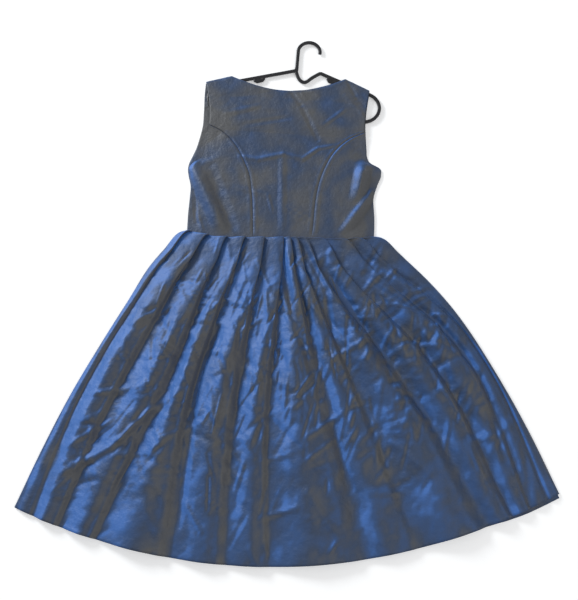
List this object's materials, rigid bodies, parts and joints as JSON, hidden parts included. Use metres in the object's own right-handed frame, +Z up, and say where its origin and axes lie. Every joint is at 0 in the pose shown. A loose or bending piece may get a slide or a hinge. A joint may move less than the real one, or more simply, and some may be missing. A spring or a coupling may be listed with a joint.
{
  "type": "dirndl dress on a coat hanger",
  "caption": "Sleeveless dirndl of shot taffeta lying flat on its front, back up, with a fitted princess-seamed bodice, a knife-pleated skirt and a plain plastic coat hanger inside it.",
  "frame": {"origin": "on the table under the middle of the whole, dress and hanger together", "axes": "+Y from the hem to the neck and hook, +Z up from the table, +X to the right as the dress is seen from above"},
  "size_m": [1.2084, 1.2978, 0.0347],
  "materials": {
    "taffeta": "shot blue and grey-brown taffeta, crisp sheen",
    "hanger_plastic": "black moulded plastic"
  },
  "bodies": {
    "root": {"bodice_back_centre": "taffeta", "bodice_back_side_left": "taffeta", "bodice_back_side_right": "taffeta", "bodice_front_left": "taffeta", "bodice_front_right": "taffeta", "skirt_back": "taffeta", "skirt_front": "taffeta", "hanger_hook": "hanger_plastic", "hanger_neck": "hanger_plastic", "hanger_arm_left": "hanger_plastic", "hanger_end_left": "hanger_plastic", "hanger_lug_left": "hanger_plastic", "hanger_arm_right": "hanger_plastic", "hanger_end_right": "hanger_plastic", "hanger_lug_right": "hanger_plastic", "hanger_bar": "hanger_plastic"}
  },
  "joints": []
}
